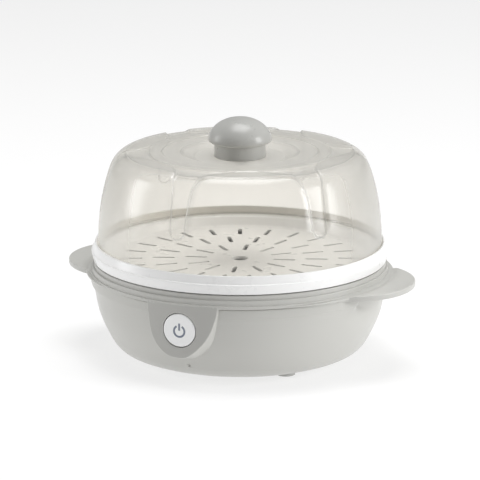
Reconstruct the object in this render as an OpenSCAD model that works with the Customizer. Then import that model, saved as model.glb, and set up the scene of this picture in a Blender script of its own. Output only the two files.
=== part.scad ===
// Steam sterilizer for feeding bottles and teats: heated base, lift-out
// steam tray and lift-off domed lid. +Z is up, the front with the power
// button faces -Y, the two carrying handles point along +X and -X.
// Origin: centre of the footprint, on the plane the feet stand on.

/* [Overall] */
// Largest radius of the base, at the collar flange and the button boss
flange_r = 111.3; // [110.5:0.1:112]
// Distance from the centre to the tip of each handle
handle_tip = 135.2; // [134:0.2:137]

/* [Base bowl] */
// Wall thickness of the outer bowl
bowl_wall = 2.6; // [2.2:0.1:2.8]
// Height of the joint line between bowl and collar
seam_z = 62.4; // [62.2:0.1:62.6]
// Radius of the opening closed by the bottom cover
cover_opening_r = 76.8; // [76.6:0.1:77]
// Radius of the finger hollow below each handle
scoop_r = 30; // [28:1:32]
// How far the finger hollow cuts in, measured from the centre
scoop_x = 104; // [103.6:0.1:104.6]

/* [Handles] */
// Radius of the round handle lobe
handle_lobe_r = 50; // [48:0.5:52]
// Height of the handles' top face
handle_top = 65; // [64.8:0.1:65.2]
// Thickness of the handles
handle_t = 4.4; // [4.2:0.1:4.5]

/* [Button] */
// Sideways place of the button's centre
button_x = -1.2; // [-1.4:0.1:-1]
// Height of the button's centre
button_z = 45.2; // [45.0:0.1:46.0]
// Radius of the button cap
button_r = 12.3; // [12.1:0.1:12.4]
// Radius of the button's hole in the boss
button_hole_r = 12.9; // [12.8:0.1:13]
// Half width of the raised boss at its top edge
boss_half_w = 27.6; // [27.2:0.1:28]
// Height of the lowest point of the boss
boss_low = 24.2; // [24:0.1:24.6]

/* [Feet] */
// Radius on which the feet stand
foot_pos_r = 68; // [67:0.5:68.5]
// Turn of each foot from the handle line
foot_turn = 38; // [36:1:45]
// Radius of each foot
foot_r = 6.8; // [6.4:0.1:7]

/* [Tray] */
// Largest radius of the white ring
ring_r = 110.2; // [109.8:0.1:110.4]
// Height of the shoulder that carries the lid
shoulder_z = 80.4; // [80.2:0.1:80.6]
// Width of each steam slot
slot_w = 3.2; // [2.6:0.2:3.6]

/* [Lid] */
// Wall thickness of the dome
lid_wall = 2.2; // [2:0.1:2.4]
// Depth of the flutes pressed into the dome
flute_depth = 1.6; // [1.2:0.1:1.8]
// Turn of the first flute from the front
flute_turn = -3.5; // [-6:0.5:6]

/* [Knob] */
// Largest radius of the knob's cap
knob_r = 23.3; // [22.8:0.1:23.8]
// Radius of the knob's neck
knob_neck_r = 19; // [18.5:0.1:19.5]
// Height of the knob's top
knob_top = 179.2; // [178.6:0.1:179.6]

/* [Hidden] */
$fn = 96;
e = 0.01;
grey = [0.76, 0.76, 0.74];
white = [0.95, 0.95, 0.95];
steel = [0.7, 0.7, 0.72];

// Catmull-Rom curve through hand-set knots
function cr(a, b, c, d, t) = 0.5 * ((2 * b) + (c - a) * t
    + (2 * a - 5 * b + 4 * c - d) * t * t + (3 * b - a - 3 * c + d) * t * t * t);
function smooth(p, n) = [for (i = [0 : len(p) - 2]) for (k = [0 : n - 1])
    cr(p[max(i - 1, 0)], p[i], p[i + 1], p[min(i + 2, len(p) - 1)], k / n),
    ];
function curve(p, n) = concat(smooth(p, n), [p[len(p) - 1]]);
function inward(p, t) = [for (i = [0 : len(p) - 1])
    let (a = p[max(i - 1, 0)], b = p[min(i + 1, len(p) - 1)], d = b - a, l = norm(d))
    p[i] + t * [-d[1], d[0]] / l];
function flip(p) = [for (i = [len(p) - 1 : -1 : 0]) p[i]];

// Swept round wire along a smooth curve
function unit(v) = v / norm(v);
function tan_at(p, i) = unit(p[min(i + 1, len(p) - 1)] - p[max(i - 1, 0)]);
module wire(pts, r, n = 4, sides = 8) {
    p = curve(pts, n);
    up = [0.13, 0.21, 0.97];
    rings = [for (i = [0 : len(p) - 1])
        let (t = tan_at(p, i), u = unit(cross(up, t)), v = cross(t, u))
        for (k = [0 : sides - 1]) p[i] + r * (cos(360 * k / sides) * u + sin(360 * k / sides) * v)];
    m = len(p);
    faces = concat(
        [[for (k = [sides - 1 : -1 : 0]) k]],
        [for (i = [0 : m - 2]) for (k = [0 : sides - 1])
            [i * sides + k, i * sides + (k + 1) % sides, (i + 1) * sides + (k + 1) % sides, (i + 1) * sides + k]],
        [[for (k = [0 : sides - 1]) (m - 1) * sides + k]]);
    polyhedron(rings, faces, convexity = 6);
}

// ---- base bowl -----------------------------------------------------------
bowl_knots = [[cover_opening_r, 3.0], [80.7, 4], [88.7, 7.2], [93.1, 11], [95.9, 15.2],
              [98.4, 20], [101.8, 27], [104.8, 35.2], [107, 45], [108.3, 54]];
bowl_out = curve(bowl_knots, 3);
bowl_in = inward(bowl_out, bowl_wall);

module bowl_outer_solid() rotate_extrude($fn = 144)
    polygon(concat([[0, 3.0]], bowl_out,
        [[108.9, 54.6], [108.9, 61.8], [107.6, seam_z], [0, seam_z]]));
module bowl_cavity() rotate_extrude($fn = 144)
    polygon(concat([[0, 8]], [for (q = bowl_in) if (q[1] > 8.2) q],
        [[106.0, 54.6], [105.9, seam_z + 1], [0, seam_z + 1]]));
module scoops(extra) for (s = [-1, 1])
    translate([s * (scoop_x + scoop_r), 0, 58]) rotate([90, 0, 0])
        cylinder(r = scoop_r + extra, h = 100, center = true, $fn = 96);
// outlines of the raised boss seen from the front: half width and height
boss_h = seam_z - boss_low;
boss_k = boss_half_w / 27.6;
face_half = [[0, 0], [4, 0.02], [7.6, 0.073], [11.4, 0.152], [15.4, 0.257], [18.7, 0.361], [21.2, 0.466],
             [23.6, 0.597], [25.4, 0.741], [26.7, 0.859], [27.6, 1]];
root_half = [[0, 0], [5.2, 0.02], [9.8, 0.073], [14.8, 0.152], [19.8, 0.257], [23.6, 0.361], [25.8, 0.466],
             [27, 0.597], [27.8, 0.741], [28, 0.859], [28, 1]];
function boss_pts(half, inset, up) = [for (q = half) [max(0, q[0] * boss_k - inset), boss_low + inset + (boss_h - inset + up) * q[1]]];
module boss_outline(half, inset, up) polygon(concat(boss_pts(half, inset, up),
    [for (q = flip(boss_pts(half, inset, up))) if (q[0] > 0) [-q[0], q[1]]]));
module boss_body(inset, up) {
    hull() {
        translate([0, -112, 0]) rotate([90, 0, 0]) linear_extrude(1) boss_outline(face_half, inset, up);
        translate([0, -103.6, 0]) rotate([90, 0, 0]) linear_extrude(0.4) boss_outline(root_half, inset, up);
    }
    translate([0, -60, 0]) rotate([90, 0, 0]) linear_extrude(43.8) boss_outline(root_half, inset, up);
}
module along_y(y0, y1) translate([button_x, y1, button_z]) rotate([90, 0, 0]) linear_extrude(y1 - y0) children();

module boss_block() difference() {
    intersection() {
        cylinder(r = flange_r, h = seam_z, $fn = 180);
        boss_body(0, 0);
    }
    bowl_cavity();
}
module boss_cavity() intersection() {
    cylinder(r = flange_r - bowl_wall, h = seam_z + 2, $fn = 180);
    boss_body(bowl_wall, 2);
}
module outer_bowl() color(grey) difference() {
    union() {
        difference() {
            union() {
                difference() {
                    bowl_outer_solid();
                    scoops(0);
                    difference() { bowl_cavity(); scoops(bowl_wall); }
                }
                // raised shield-shaped boss round the button
                boss_block();
            }
            boss_cavity();
        }
        // posts that carry the button guide
        for (s = [-1, 1]) difference() {
            translate([button_x + s * 18.8, -103.4, button_z]) rotate([90, 0, 0]) cylinder(r = 2.4, h = 4.6, $fn = 32);
            translate([button_x + s * 18.8, -103, button_z]) rotate([90, 0, 0]) cylinder(r = 1.1, h = 4, $fn = 24);
        }
        // ledge and screw posts above the bottom cover
        rotate_extrude($fn = 144) polygon([[62, 5.4], [cover_opening_r + 6, 5.4], [cover_opening_r + 9, 8.4], [62, 8.4]]);
        for (a = [0, 90, 180, 270]) rotate(a) translate([67, 0, 8]) cylinder(r = 4, h = 8, $fn = 32);
        // flat pad round the power inlet
        intersection() {
            translate([-17, 84, 18]) cube([34, 20, 24]);
            difference() {
                cylinder(r = 140, h = 60);
                difference() { bowl_cavity(); translate([-15.4, 80, 19.6]) cube([30.8, 30, 20.8]); }
            }
        }
    }
    front_hole();
    translate([-13, 70, 21]) cube([26, 50, 18]);
    for (a = [0, 90, 180, 270]) rotate(a) translate([67, 0, 4]) cylinder(r = 1.5, h = 10, $fn = 24);
    // bottom opening
    translate([0, 0, -1]) cylinder(r = 62, h = 10);
    translate([0, 0, -1]) cylinder(r = cover_opening_r, h = 6.4, $fn = 144);
    // small drain dimple below the boss
    translate([0, -96.4, 15.2]) sphere(r = 1.5, $fn = 24);
}
module front_hole() translate([button_x, -100, button_z]) rotate([90, 0, 0]) cylinder(r = button_hole_r, h = 20, $fn = 96);

// ---- collar with handles -------------------------------------------------
module lobe_outline() {
    for (s = [-1, 1]) {
        translate([s * (handle_tip - handle_lobe_r), 0]) circle(r = handle_lobe_r, $fn = 96);
    }
}
// concave blends from the lobes into the ring, fr is their radius
module handle_blends(fr) {
    lx = handle_tip - handle_lobe_r;
    d1 = handle_lobe_r + fr;
    d2 = flange_r + fr;
    fx = (d2 * d2 - d1 * d1 + lx * lx) / (2 * lx);
    fy = sqrt(d2 * d2 - fx * fx);
    for (s = [-1, 1], t = [-1, 1]) difference() {
        polygon([[s * lx, t * 10], [s * fx, t * fy], [s * fx * 0.4, t * fy * 0.4]]);
        translate([s * fx, t * fy]) circle(r = fr, $fn = 180);
    }
}
// outline of the flange, which widens gently towards the handles
function flare_r(a) = flange_r + 1.5 * (1 + cos(180 * min(1, max(0, (abs(a) - 22) / 38))));
module flare() for (s = [0, 180]) rotate(s) polygon(concat([for (a = [-60 : 3 : 60]) flare_r(a) * [cos(a), sin(a)]],
    [[100 * cos(60), 100 * sin(60)], [100 * cos(60), -100 * sin(60)]]));
module handle_collar() color(grey) {
    union() {
        union() {
            rotate_extrude($fn = 180) polygon([[104.4, seam_z], [107.6, seam_z], [108.2, 62.7],
                [flange_r - 0.4, 62.7], [flange_r, 63.1], [flange_r, 64.6], [flange_r - 0.5, 65.1],
                [109.9, 65.1], [109.9, 68.5], [109.4, 69.0], [108.4, 69.0], [108.4, 71.9],
                [107.9, 72.4], [104.8, 72.4], [104.8, 69.5], [101, 69.5], [101, 67.6], [104.4, 66]]);
            difference() {
                union() {
                    translate([0, 0, handle_top - handle_t]) linear_extrude(handle_t) { lobe_outline(); handle_blends(14); }
                    // thin skirt that widens the flange towards the handles
                    translate([0, 0, handle_top - handle_t]) linear_extrude(2.4) flare();
                }
                translate([0, 0, 50]) cylinder(r = 109.3, h = 12.7, $fn = 180);
                translate([0, 0, 50]) cylinder(r = 106, h = 30, $fn = 180);
                // shallow hollow round the root of each handle
                rotate_extrude($fn = 180) translate([114.6, handle_top + 3]) circle(r = 4.6, $fn = 64);
            }
        }
    }
}

// ---- water basin and heater ----------------------------------------------
basin_knots = [[58, 36], [68, 37], [74, 42], [79, 50], [86, 57.5], [93, 61.5], [97.5, 65], [99.6, 69.6]];
basin_out = curve(basin_knots, 3);
basin_in = inward(basin_out, 2.2);
module inner_basin() color(white) rotate_extrude($fn = 144) polygon(concat(
    [[56.5, 36]], basin_out, [[104.5, 69.6], [104.5, 72.4], [98.3, 72.4], [98.3, 70.4]],
    flip([for (q = basin_in) if (q[1] > 38.6 && q[1] < 69.4) q]), [[65, 38.2], [56.5, 38.2]]));
module heating_plate() color(steel) difference() {
    union() {
        rotate_extrude($fn = 144) polygon([[0, 39.4], [62.6, 39.4], [63, 39.8], [63, 40.6], [62.6, 41],
            [58, 41], [57, 40.6], [8, 40.6], [7, 41.2], [0, 41.2]]);
        for (a = [30, 150, 270]) rotate(a) translate([53, 0, 29]) cylinder(r = 2, h = 10.6, $fn = 24);
    }
}
module plate_gasket() color([0.85, 0.3, 0.2]) difference() {
    translate([0, 0, 38.2]) cylinder(r = 62.4, h = 1.2, $fn = 144);
    cylinder(r = 57, h = 80, $fn = 144);
}
module clamp_ring() color(steel) difference() {
    translate([0, 0, 34.4]) cylinder(r = 64, h = 1.6, $fn = 144);
    cylinder(r = 49.5, h = 80, $fn = 144);
    for (a = [30, 150, 270]) rotate(a) translate([53, 0, 30]) cylinder(r = 2.25, h = 10, $fn = 24);
}
module clamp_nuts() color("gold") for (a = [30, 150, 270]) rotate(a) translate([53, 0, 31]) difference() {
    cylinder(r = 4.04, h = 3.4, $fn = 6);
    translate([0, 0, -1]) cylinder(r = 2.05, h = 6, $fn = 24);
}
module heating_element() color([0.45, 0.45, 0.47]) {
    rotate(125) rotate_extrude(angle = 290, $fn = 96) translate([36, 0]) {
        translate([0, 35.2]) circle(r = 3.8, $fn = 32);
        translate([-3, 35.2]) square([6, 4.2]);
    }
    for (a = [125, 55]) rotate(a) translate([36, 0, 24]) cylinder(r = 1.6, h = 11, $fn = 20);
}
module thermostat() color([0.2, 0.2, 0.2]) {
    translate([0, 0, 32.4]) cylinder(r = 8.2, h = 7, $fn = 48);
    translate([0, 0, 28.6]) cylinder(r = 6.2, h = 3.8, $fn = 48);
    for (s = [-1, 1]) translate([s * 3.4 - 0.4, -3, 22]) cube([0.8, 6, 6.6]);
}
module thermal_fuse() color([0.85, 0.85, 0.6]) translate([17, 0, 36.9]) rotate([90, 0, 0]) {
    cylinder(r = 2.5, h = 12, center = true, $fn = 32);
    cylinder(r = 0.6, h = 20, center = true, $fn = 16);
}

// ---- bottom --------------------------------------------------------------
module bottom_cover() color([0.62, 0.62, 0.6]) difference() {
    union() {
        rotate_extrude($fn = 144) polygon([[0, 1.8], [72, 1.8], [76.5, 3.0], [76.5, 5.2], [61.6, 5.2],
            [61.6, 4.2], [0, 4.2]]);
        // posts below the control board
        for (x = [-46, -10], y = [-31, -7]) translate([x, y, 4]) cylinder(r = 3, h = 9, $fn = 32);
    }
    for (a = [0, 90, 180, 270]) rotate(a) translate([67, 0, 0]) {
        cylinder(r = 1.9, h = 8, $fn = 24);
        cylinder(r = 3.6, h = 3.4, $fn = 32);
    }
    for (a = [foot_turn, 180 - foot_turn, 180 + foot_turn, 360 - foot_turn]) rotate(a) translate([foot_pos_r, 0, 0]) {
        cylinder(r = foot_r + 0.2, h = 2.6, $fn = 48);
        cylinder(r = 2.6, h = 8, $fn = 32);
    }
    for (x = [-46, -10], y = [-31, -7]) translate([x, y, 6]) cylinder(r = 1.1, h = 9, $fn = 20);
    // cooling slots
    for (y = [-12 : 6 : 12]) translate([14, 10 + y, 0]) cube([30, 2.4, 12]);
}
module cover_screws() color(steel) for (a = [0, 90, 180, 270]) rotate(a) translate([67, 0, 0]) {
    difference() {
        translate([0, 0, 2]) cylinder(r = 3.2, h = 1.4, $fn = 32);
        translate([-2, -0.4, 1]) cube([4, 0.8, 1.6]);
        translate([-0.4, -2, 1]) cube([0.8, 4, 1.6]);
    }
    translate([0, 0, 3.4]) cylinder(r = 1.45, h = 9.6, $fn = 24);
}
module rubber_feet() color([0.35, 0.35, 0.35]) for (a = [foot_turn, 180 - foot_turn, 180 + foot_turn, 360 - foot_turn]) rotate(a) translate([foot_pos_r, 0, 0]) {
    cylinder(r = foot_r, h = 2.6, $fn = 48);
    translate([0, 0, 2.6]) cylinder(r = 2.5, h = 2.6, $fn = 32);
}
module control_board() color([0.1, 0.4, 0.2]) difference() {
    translate([-52, -37, 13]) cube([48, 36, 1.6]);
    for (x = [-46, -10], y = [-31, -7]) translate([x, y, 10]) cylinder(r = 1.3, h = 8, $fn = 20);
}
module board_relay() color([0.1, 0.2, 0.6]) translate([-42, -27, 14.6]) cube([12, 16, 11]);
module board_capacitor() color([0.2, 0.2, 0.25]) {
    translate([-19, -24, 14.6]) cylinder(r = 5, h = 9, $fn = 48);
    translate([-26, -13, 14.6]) cube([9, 5, 8]);
}
module board_screws() color(steel) for (x = [-46, -10], y = [-31, -7]) translate([x, y, 8.6]) {
    cylinder(r = 1.05, h = 6, $fn = 20);
    translate([0, 0, 6]) cylinder(r = 2.4, h = 1.4, $fn = 24);
}

// ---- button and switch (all along Y, pressed towards +Y) -------------------
module power_button() color(white) difference() {
    union() {
        intersection() {
            along_y(-110.9, -105) circle(r = button_r, $fn = 96);
            translate([button_x, 0, button_z]) rotate([90, 0, 0]) rotate_extrude($fn = 96)
                polygon([[0, 100], [20, 100], [20, 104], [button_r, 110.1], [button_r - 0.8, 110.9], [0, 110.9]]);
        }
        along_y(-107.0, -105) circle(r = 14.2, $fn = 96);
        along_y(-106, -97.3) circle(r = 2.8, $fn = 48);
    }
    // seat of the icon inlay
    along_y(-113, -110.4) translate([0, -0.7]) icon_outline(0);
    // hollow back
    along_y(-108.6, -104) difference() { circle(r = 10.6, $fn = 64); circle(r = 2.8, $fn = 48); }
}
module icon_outline(g) {
    difference() {
        circle(r = 4.8 - g, $fn = 64);
        circle(r = 3.3 + g, $fn = 64);
        translate([-1.9 - g, 0]) square([3.8 + 2 * g, 8]);
    }
    translate([-0.75 + g, 0.6 + g]) square([1.5 - 2 * g, 5.2 - 2 * g]);
}
module button_icon() color([0.5, 0.54, 0.6]) along_y(-110.88, -110.4) translate([0, -0.7]) icon_outline(0.05);
module button_guide() color([0.9, 0.9, 0.88]) {
    along_y(-104.4, -97.2) difference() { circle(r = 16.3, $fn = 64); circle(r = 14.8, $fn = 64); }
    along_y(-99.2, -97.2) difference() { circle(r = 15.4, $fn = 64); circle(r = 3.1, $fn = 48); }
    // ears screwed to the posts
    translate([button_x, 0, 0]) for (s = [-1, 1]) difference() {
        translate([s * 18.35 - 2.45, -103.4, button_z - 2.6]) cube([4.9, 2, 5.2]);
        translate([s * 18.8, -100, button_z]) rotate([90, 0, 0]) cylinder(r = 1.4, h = 6, $fn = 24);
        translate([0, -100, button_z]) rotate([90, 0, 0]) cylinder(r = 16, h = 6, $fn = 64);
    }
    // cheeks that hold the micro switch
    for (s = [-1, 1]) translate([button_x + s * 4.1 - 1, -97.3, 35.4]) cube([2, 8, 15]);
}
module guide_screws() color(steel) for (s = [-1, 1]) translate([button_x + s * 18.8, -101.4, button_z]) rotate([90, 0, 0]) {
    translate([0, 0, -1.3]) cylinder(r = 2.2, h = 1.3, $fn = 24);
    cylinder(r = 1.05, h = 5, $fn = 20);
}
spring_turns = 4;
module button_spring() color(steel) {
    n = 12;
    pts = [for (k = [0 : spring_turns * n]) [button_x + 9 * cos(360 * k / n), -104.4 + 4.6 * k / (spring_turns * n), button_z + 9 * sin(360 * k / n)]];
    sides = 8;
    rings = [for (k = [0 : len(pts) - 1]) let (a = 360 * k / n, u = [cos(a), 0, sin(a)], v = [0, 1, 0])
        for (j = [0 : sides - 1]) pts[k] + 0.4 * (cos(360 * j / sides) * u + sin(360 * j / sides) * v)];
    m = len(pts);
    polyhedron(rings, concat([[for (k = [0 : sides - 1]) k]],
        [for (i = [0 : m - 2]) for (k = [0 : sides - 1])
            [i * sides + k, (i + 1) * sides + k, (i + 1) * sides + (k + 1) % sides, i * sides + (k + 1) % sides]],
        [[for (k = [sides - 1 : -1 : 0]) (m - 1) * sides + k]]), convexity = 10);
}
module micro_switch() color([0.15, 0.15, 0.15]) difference() {
    translate([button_x - 3, -94.4, 36.6]) cube([6, 6.6, 12.8]);
    translate([button_x, -90.7, button_z]) rotate([90, 0, 0]) cylinder(r = 1.45, h = 5, $fn = 32);
}
module switch_terminals() color("gold") for (z = [38.4, 42.8, 47.2]) translate([button_x - 1.2, -87.8, z - 0.3]) cube([2.4, 3.4, 0.6]);
module switch_plunger() color([0.8, 0.2, 0.2]) translate([button_x, -93.4, button_z]) rotate([90, 0, 0]) cylinder(r = 1.4, h = 3.8, $fn = 32);

// ---- power inlet at the rear ------------------------------------------------
module inlet_slot() {
    for (s = [-1, 1]) translate([s * 4.2, 0]) circle(r = 3.9, $fn = 32);
    translate([-4.2, -3.9]) square([8.4, 7.8]);
}
module power_inlet() color([0.15, 0.15, 0.15]) difference() {
    union() {
        translate([-12.7, 86, 21.3]) cube([25.4, 17.6, 17.4]);
        translate([-12.7, 84.4, 23.5]) cube([25.4, 1.7, 13]);
    }
    translate([0, 110, 30]) rotate([90, 0, 0]) linear_extrude(17) inlet_slot();
}
module inlet_pins() color("gold") for (s = [-1, 1]) translate([s * 4.3, 101, 30]) rotate([90, 0, 0]) {
    cylinder(r = 1.2, h = 8, $fn = 24);
}
module wiring() color([0.8, 0.1, 0.1]) {
    wire([[-6, 83.6, 30], [-8, 76, 24], [-24, 50, 15], [-34, 20, 14], [-36, 4, 18], [-36, -6, 17.4]], 1.1);
    wire([[6, 83.6, 30], [10, 76, 24], [26, 50, 21], [25, 34, 21], [20.6, 29.5, 22.6]], 1.1);
    wire([[-1.2, -83.4, 47.2], [2, -79, 42], [2, -70, 30], [-8, -56, 20], [-16, -46, 16.4], [-18, -38, 16.4], [-18, -31, 16.4]], 1.1);
    wire([[-1.2, -83.4, 38.4], [-4, -78, 34], [-14, -66, 22], [-30, -52, 17], [-35, -43, 16.4], [-36, -35, 16.4], [-36, -29, 16.4]], 1.1);
}

// ---- steam tray --------------------------------------------------------------
module slot_ring(n, r0, r1, turn) for (k = [0 : n - 1]) rotate(turn + 360 * k / n) {
    translate([r0, -slot_w / 2]) square([r1 - r0, slot_w]);
    for (r = [r0, r1]) translate([r, 0]) circle(r = slot_w / 2, $fn = 24);
}
module steam_tray() color(white) difference() {
    rotate_extrude($fn = 180) polygon([[0, 69.8], [97.0, 69.8], [97.8, 70.6], [97.8, 72.6], [104.0, 72.6],
        [104.0, 78.2], [106.9, 78.2], [106.6, 73.5], [107.0, 73.1], [108.2, 73.1], [108.6, 73.5],
        [ring_r, 79.4], [ring_r, 80.2], [109.3, 80.8], [107.5, 86.0], [107.0, 86.6], [106.4, 86.6], [105.8, 86.0],
        [105.8, shoulder_z], [100.6, shoulder_z], [99.4, 79.4], [96.6, 73.4], [95.2, 72.2], [0, 72.2]]);
    translate([0, 0, 60]) linear_extrude(20) {
        slot_ring(24, 74, 88, 7.5);
        slot_ring(18, 50, 64, 0);
        slot_ring(12, 26, 40, 15);
    }
    translate([0, 0, 60]) cylinder(r = 6, h = 20, $fn = 48);
}

// ---- lid -----------------------------------------------------------------------
lid_foot = shoulder_z + 0.2;
wall_knots = [[105.3, 86], [104.7, 100], [103, 115], [100.6, 127], [97.9, 137], [95.8, 143],
              [93.3, 147.6], [89.6, 151.4], [84.6, 153.9]];
top_out = [[83.4, 153.6], [67.8, 153.6], [67.2, 154.1], [58, 154.1], [57.4, 153.6], [43.8, 153.6],
           [43, 153.2], [34.4, 150.2], [33.6, 150]];
wall_out = concat([[105.3, lid_foot]], curve(wall_knots, 3));
wall_in = concat([[105.3 - lid_wall, lid_foot]], [for (q = inward(curve(wall_knots, 3), lid_wall)) q]);
top_in = [[83, 151.4], [67.6, 151.4], [67, 151.9], [58.4, 151.9], [57.8, 151.4], [44.4, 151.4],
          [43.6, 151.1], [34.8, 148], [34, 147.8]];
module dome_solid(out, top) rotate_extrude($fn = 180)
    polygon(concat([[0, out[0][1]]], out, top, [[0, top[len(top) - 1][1]]]));
function lower(p, t) = [for (q = p) [q[0], q[1] - t]];
// plan of one flute on the crown, radius along x
module flute_plan() difference() {
    polygon([[66.4, -30.5], [70, -22], [76, -14.6], [82, -11], [90, -9.4], [98, -9.2], [98, 9.2], [90, 9.4],
             [82, 11], [76, 14.6], [70, 22], [66.4, 30.5]]);
    circle(r = 67.5, $fn = 96);
}
// outline of one flute on the wall, seen from outside
module flute_side() {
    polygon([[-9.6, 156], [-9.4, 150], [-7.9, 146], [-6.8, 138], [-6.1, 128], [-5.8, 115.5],
             [5.8, 115.5], [6.1, 128], [6.8, 138], [7.9, 146], [9.4, 150], [9.6, 156]]);
    translate([0, 115.5]) circle(r = 5.8, $fn = 32);
}
module flutes() for (k = [0 : 5]) rotate(-90 + flute_turn + 60 * k) {
    translate([0, 0, 147.6]) linear_extrude(20) flute_plan();
    intersection() {
        translate([80, 0, 0]) rotate([90, 0, 90]) linear_extrude(40) flute_side();
        translate([80, -20, 100]) cube([40, 40, 49]);
    }
}
module lid_dome() color([0.9, 0.9, 0.88, 0.45]) difference() {
    union() {
        difference() {
            dome_solid(wall_out, top_out);
            translate([0, 0, -1]) cylinder(r = 105.3 - lid_wall, h = lid_foot + 1.01, $fn = 180);
            difference() {
                dome_solid(wall_in, top_in);
                intersection() {
                    difference() {
                        dome_solid(wall_in, top_in);
                        dome_solid(inward(wall_in, flute_depth), lower(top_in, flute_depth));
                    }
                    flutes();
                }
            }
        }
    }
    intersection() {
        difference() {
            translate([0, 0, 0.5]) dome_solid(inward(wall_out, -1), lower(top_out, -1));
            dome_solid(inward(wall_out, flute_depth), lower(top_out, flute_depth));
        }
        flutes();
    }
    // knob screw hole and steam vent
    translate([0, 0, 140]) cylinder(r = 1.9, h = 20, $fn = 24);
    translate([0, 27, 140]) cylinder(r = 1.6, h = 20, $fn = 24);
}
knob_prof = [for (a = [0 : 7.5 : 90]) [knob_r * pow(cos(a), 0.92), 163.2 + (knob_top - 163.2) * pow(sin(a), 1.12)]];
module lid_knob() color([0.72, 0.72, 0.7]) difference() {
    union() {
        rotate_extrude($fn = 144) polygon(concat([[0, 150], [knob_neck_r, 150], [knob_neck_r, 160.4],
            [21.4, 160.6], [22.8, 161.4]], [for (q = knob_prof) [max(q[0], 0), q[1]]]));
    }
    // hollow core with a central screw post
    difference() {
        rotate_extrude($fn = 96) polygon([[0, 149], [16.4, 149], [16.4, 161], [15.4, 168], [10, 173.5], [0, 174.6]]);
        cylinder(r = 5, h = 200, $fn = 48);
        for (a = [0, 90]) rotate(a) translate([-20, -0.9, 152]) cube([40, 1.8, 40]);
    }
    translate([0, 0, 140]) cylinder(r = 1.65, h = 30, $fn = 24);
}
module knob_screw() color(steel) {
    difference() {
        translate([0, 0, 144]) cylinder(r = 4.4, h = 2.6, $fn = 48);
        translate([-3, -0.5, 143]) cube([6, 1, 2.2]);
        translate([-0.5, -3, 143]) cube([1, 6, 2.2]);
    }
    translate([0, 0, 146.6]) cylinder(r = 1.6, h = 20, $fn = 24);
}
module knob_washer() color([0.6, 0.6, 0.6]) difference() {
    translate([0, 0, 146.6]) cylinder(r = 7, h = 1.2, $fn = 48);
    translate([0, 0, 140]) cylinder(r = 1.9, h = 10, $fn = 24);
}

outer_bowl();
handle_collar();
inner_basin();
heating_plate();
plate_gasket();
clamp_ring();
clamp_nuts();
heating_element();
thermostat();
thermal_fuse();
bottom_cover();
cover_screws();
rubber_feet();
control_board();
board_relay();
board_capacitor();
board_screws();
button_guide();
guide_screws();
button_spring();
micro_switch();
switch_terminals();
power_inlet();
inlet_pins();
wiring();
power_button();
button_icon();
switch_plunger();
steam_tray();
lid_dome();
lid_knob();
knob_screw();
knob_washer();
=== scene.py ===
import bpy, bmesh, math
import numpy as np
from mathutils import Vector, Matrix


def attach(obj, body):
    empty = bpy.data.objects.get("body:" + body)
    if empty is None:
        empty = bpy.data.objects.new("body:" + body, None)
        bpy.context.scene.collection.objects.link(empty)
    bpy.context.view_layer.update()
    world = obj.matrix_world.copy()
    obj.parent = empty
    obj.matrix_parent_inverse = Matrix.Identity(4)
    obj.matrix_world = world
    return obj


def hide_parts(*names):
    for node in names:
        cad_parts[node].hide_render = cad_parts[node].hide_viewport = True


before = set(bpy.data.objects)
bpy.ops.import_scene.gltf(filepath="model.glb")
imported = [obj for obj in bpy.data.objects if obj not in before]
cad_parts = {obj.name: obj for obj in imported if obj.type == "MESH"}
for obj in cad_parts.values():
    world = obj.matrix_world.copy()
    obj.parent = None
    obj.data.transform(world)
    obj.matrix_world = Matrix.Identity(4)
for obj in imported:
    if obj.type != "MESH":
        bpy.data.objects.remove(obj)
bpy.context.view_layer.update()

MM = 0.001
rad = math.radians

# ---------------------------------------------------------------- camera
AZ, EL, DIST, LENS = 22.5, 14.3, 2.478, 250.45
target = Vector((0.0, 0.0, 0.086))
fwd = Vector((-math.sin(rad(AZ)) * math.cos(rad(EL)), math.cos(rad(AZ)) * math.cos(rad(EL)), -math.sin(rad(EL))))
cam_data = bpy.data.cameras.new("camera")
cam = bpy.data.objects.new("camera", cam_data)
bpy.context.scene.collection.objects.link(cam)
cam_data.lens = LENS
cam_data.sensor_width = 36.0
cam_data.clip_end = 50
cam_data.dof.use_dof = False
cam.location = target - fwd * DIST
cam.rotation_euler = fwd.to_track_quat("-Z", "Y").to_euler()
bpy.context.scene.camera = cam


# ---------------------------------------------------------------- mesh tools
def fillet(pts, closed=False, n=5):
    """pts: (x, y) or (x, y, radius). Rounds each corner with its radius."""
    out = []
    m = len(pts)
    for i, p in enumerate(pts):
        r = p[2] if len(p) > 2 else 0.0
        if r <= 0 or (not closed and i in (0, m - 1)):
            out.append((p[0], p[1]))
            continue
        a = np.array(pts[(i - 1) % m][:2], float)
        b = np.array(p[:2], float)
        c = np.array(pts[(i + 1) % m][:2], float)
        u, v = a - b, c - b
        lu, lv = np.linalg.norm(u), np.linalg.norm(v)
        u, v = u / lu, v / lv
        ang = math.acos(max(-1, min(1, float(u @ v))))
        if ang > math.pi - 1e-3 or ang < 1e-3:
            out.append((p[0], p[1]))
            continue
        t = min(r / math.tan(ang / 2), 0.48 * lu, 0.48 * lv)
        rr = t * math.tan(ang / 2)
        w = (u + v) / np.linalg.norm(u + v)
        cen = b + w * rr / math.sin(ang / 2)
        s, e = b + u * t - cen, b + v * t - cen
        a0 = math.atan2(s[1], s[0])
        a1 = math.atan2(e[1], e[0])
        d = (a1 - a0 + math.pi) % (2 * math.pi) - math.pi
        for k in range(n + 1):
            q = a0 + d * k / n
            out.append((cen[0] + rr * math.cos(q), cen[1] + rr * math.sin(q)))
    return out


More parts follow.
